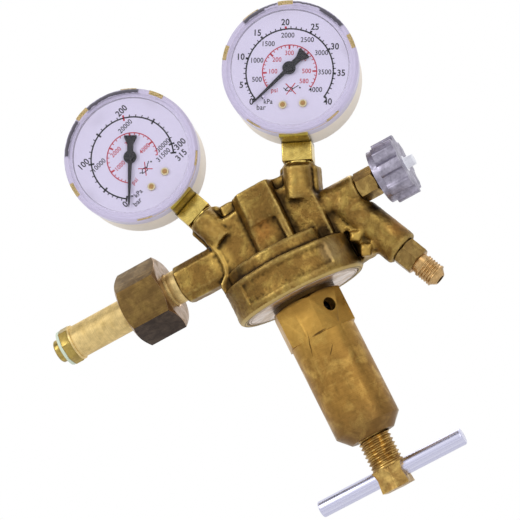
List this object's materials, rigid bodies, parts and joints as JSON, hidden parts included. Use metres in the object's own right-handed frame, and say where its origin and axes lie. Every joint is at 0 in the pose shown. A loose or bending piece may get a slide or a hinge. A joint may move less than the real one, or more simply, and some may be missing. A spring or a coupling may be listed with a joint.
{
  "type": "nitrogen regulator",
  "caption": "Brass gas pressure regulator with two round gauges, a tee bar screw, an inlet nut and an outlet needle valve.",
  "frame": {"origin": "on the inlet axis at the root of the nose, 0.3 mm in front of the washer's sealing face", "axes": "+X from the inlet into the regulator, +Z from the tee bar towards the gauges, -Y towards the gauge faces"},
  "size_m": [0.1946, 0.064, 0.2252],
  "materials": {
    "cast_brass": "rough, tarnished forging",
    "turned_brass": "turned, satin",
    "bonnet_brass": "turned, blotchy tarnish",
    "nut_brass": "brown tarnish, bright chamfers",
    "filter_bronze": "sintered, matt",
    "steel": "plated, bright",
    "spring_steel": "dark, oiled",
    "knob_metal": "cast, satin",
    "case_paint": "pale champagne lacquer",
    "dial_white": "matt white print",
    "black_paint": "matt black",
    "lens_clear": "clear, glossy",
    "rubber": "matt",
    "white_polymer": "matt white",
    "white_gloss": "glossy white",
    "washer_green": "matt pale green"
  },
  "bodies": {
    "body": {"regulator_body": "cast_brass", "inlet_stem": "turned_brass", "inlet_nipple": "turned_brass", "inlet_washer": "washer_green", "inlet_filter": "filter_bronze", "bonnet": "bonnet_brass", "diaphragm_ring": "turned_brass", "main_spring": "spring_steel", "valve_nozzle": "turned_brass", "poppet_spring": "spring_steel", "gland_nut": "bonnet_brass", "gland_packing": "white_polymer", "outlet_fitting": "turned_brass", "high_socket": "turned_brass", "high_case": "case_paint", "high_tube": "turned_brass", "high_movement": "turned_brass", "high_dial": "dial_white", "high_dial_screws": "turned_brass", "high_lens": "lens_clear", "high_vent_plug": "rubber", "low_socket": "turned_brass", "low_case": "case_paint", "low_tube": "turned_brass", "low_movement": "turned_brass", "low_dial": "dial_white", "low_dial_screws": "turned_brass", "low_lens": "lens_clear", "low_vent_plug": "rubber"},
    "spring_carrier": {"spring_button": "steel"},
    "screw": {"adjusting_screw": "bonnet_brass", "tee_bar": "steel"},
    "diaphragm_group": {"diaphragm": "rubber", "diaphragm_plate": "turned_brass"},
    "poppet_group": {"valve_poppet": "turned_brass", "poppet_seat": "white_polymer"},
    "needle": {"needle_tip": "white_polymer"},
    "handwheel": {"needle_stem": "turned_brass", "knob": "knob_metal", "knob_screw": "steel", "knob_cap": "white_gloss"},
    "slip_washer": {"nut_slip_washer": "turned_brass"},
    "nut": {"inlet_nut": "nut_brass"},
    "high_hand": {"high_pointer": "black_paint"},
    "high_gear": {"high_sector": "turned_brass"},
    "low_hand": {"low_pointer": "black_paint"},
    "low_gear": {"low_sector": "turned_brass"}
  },
  "joints": [
    {"name": "screw_travel", "type": "slide", "parent": "body", "child": "spring_carrier", "axis": [0, 0, 1], "range_m": [0, 0.012], "deforming": ["main_spring"]},
    {"name": "screw_turn", "type": "hinge", "parent": "spring_carrier", "child": "screw", "pos_m": [0.1144, 0, -0.1235], "axis": [0, 0, 1], "range_deg": [0, 2161]},
    {"name": "diaphragm_lift", "type": "slide", "parent": "body", "child": "diaphragm_group", "axis": [0, 0, 1], "range_m": [0, 0.0007]},
    {"name": "poppet_lift", "type": "slide", "parent": "body", "child": "poppet_group", "axis": [0, 0, 1], "range_m": [0, 0.0007], "deforming": ["poppet_spring"]},
    {"name": "needle_travel", "type": "slide", "parent": "body", "child": "needle", "axis": [1, 0, 0], "range_m": [0, 0.002]},
    {"name": "knob_turn", "type": "hinge", "parent": "needle", "child": "handwheel", "pos_m": [0.1674, 0, -0.0005], "axis": [1, 0, 0], "range_deg": [0, 721]},
    {"name": "nut_slide", "type": "slide", "parent": "body", "child": "slip_washer", "axis": [-1, 0, 0], "range_m": [0, 0.046]},
    {"name": "nut_turn", "type": "hinge", "parent": "slip_washer", "child": "nut", "pos_m": [0.05, 0, 0], "axis": [-1, 0, 0], "continuous": true},
    {"name": "high_pointer_turn", "type": "hinge", "parent": "body", "child": "high_hand", "pos_m": [0.07139, -0.00014, 0.06129], "axis": [-0.1604, 0.9848, -0.0665], "range_deg": [0, 270]},
    {"name": "high_sector_turn", "type": "hinge", "parent": "body", "child": "high_gear", "pos_m": [0.06344, -0.00214, 0.05079], "axis": [0.1604, -0.9848, 0.0665], "range_deg": [0, 27]},
    {"name": "low_pointer_turn", "type": "hinge", "parent": "body", "child": "low_hand", "pos_m": [0.15621, 0.00543, 0.06249], "axis": [-0.186, 0.9806, -0.0627], "range_deg": [0, 270]},
    {"name": "low_sector_turn", "type": "hinge", "parent": "body", "child": "low_gear", "pos_m": [0.14322, 0.00287, 0.06096], "axis": [0.186, -0.9806, 0.0627], "range_deg": [0, 27]}
  ],
  "couplings": [
    {"joint": "screw_turn", "follows": "screw_travel", "rad_per_m": 3141.6},
    {"joint": "poppet_lift", "follows": "diaphragm_lift", "ratio": 1},
    {"joint": "knob_turn", "follows": "needle_travel", "rad_per_m": 6283.2},
    {"joint": "high_sector_turn", "follows": "high_pointer_turn", "ratio": 0.1},
    {"joint": "low_sector_turn", "follows": "low_pointer_turn", "ratio": 0.1}
  ]
}
